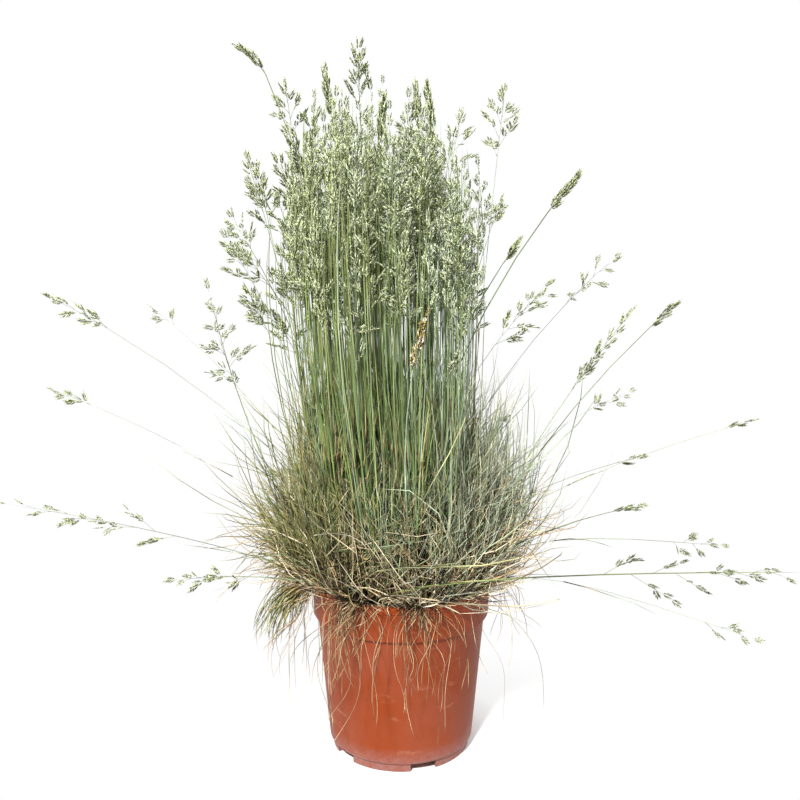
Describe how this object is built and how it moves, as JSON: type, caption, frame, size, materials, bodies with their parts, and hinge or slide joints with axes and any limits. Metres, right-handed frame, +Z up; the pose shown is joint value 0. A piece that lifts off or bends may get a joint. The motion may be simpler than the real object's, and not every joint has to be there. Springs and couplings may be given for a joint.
{
  "type": "potted ornamental grass",
  "caption": "Fine-leaved fescue grass in a round tapered plastic nursery pot, with a dense stand of upright flowering culms, splayed outer culms and straw-coloured leaves over the rim.",
  "frame": {"origin": "on the pot's axis, at the level of the pot's feet", "axes": "+Z up the pot's axis, -Y towards the front, +X to the right and along the plant's widest spread"},
  "size_m": [0.7802, 0.5123, 0.6905],
  "materials": {
    "pot_plastic": "satin moulded terracotta-coloured plastic, lightly scuffed",
    "potting_mix": "dark crumbly potting mix",
    "green_growth": "matt blue-green to olive blades, culms and spikelets",
    "dead_growth": "dry straw-coloured blades"
  },
  "bodies": {
    "root": {"pot": "pot_plastic", "potting_mix": "potting_mix", "tuft_01": "green_growth", "tuft_02": "green_growth", "tuft_03": "green_growth", "tuft_04": "green_growth", "tuft_05": "green_growth", "tuft_06": "green_growth", "tuft_07": "green_growth", "tuft_08": "green_growth", "tuft_09": "green_growth", "tuft_10": "green_growth", "tuft_11": "green_growth", "tuft_12": "green_growth", "tuft_13": "green_growth", "tuft_14": "green_growth", "tuft_15": "green_growth", "tuft_16": "green_growth", "tuft_17": "green_growth", "tuft_18": "green_growth", "tuft_19": "green_growth", "dead_leaves_01": "dead_growth", "dead_leaves_02": "dead_growth", "dead_leaves_03": "dead_growth", "dead_leaves_04": "dead_growth", "dead_leaves_05": "dead_growth", "dead_leaves_06": "dead_growth", "dead_leaves_07": "dead_growth", "dead_leaves_08": "dead_growth", "dead_leaves_09": "dead_growth"}
  },
  "joints": []
}
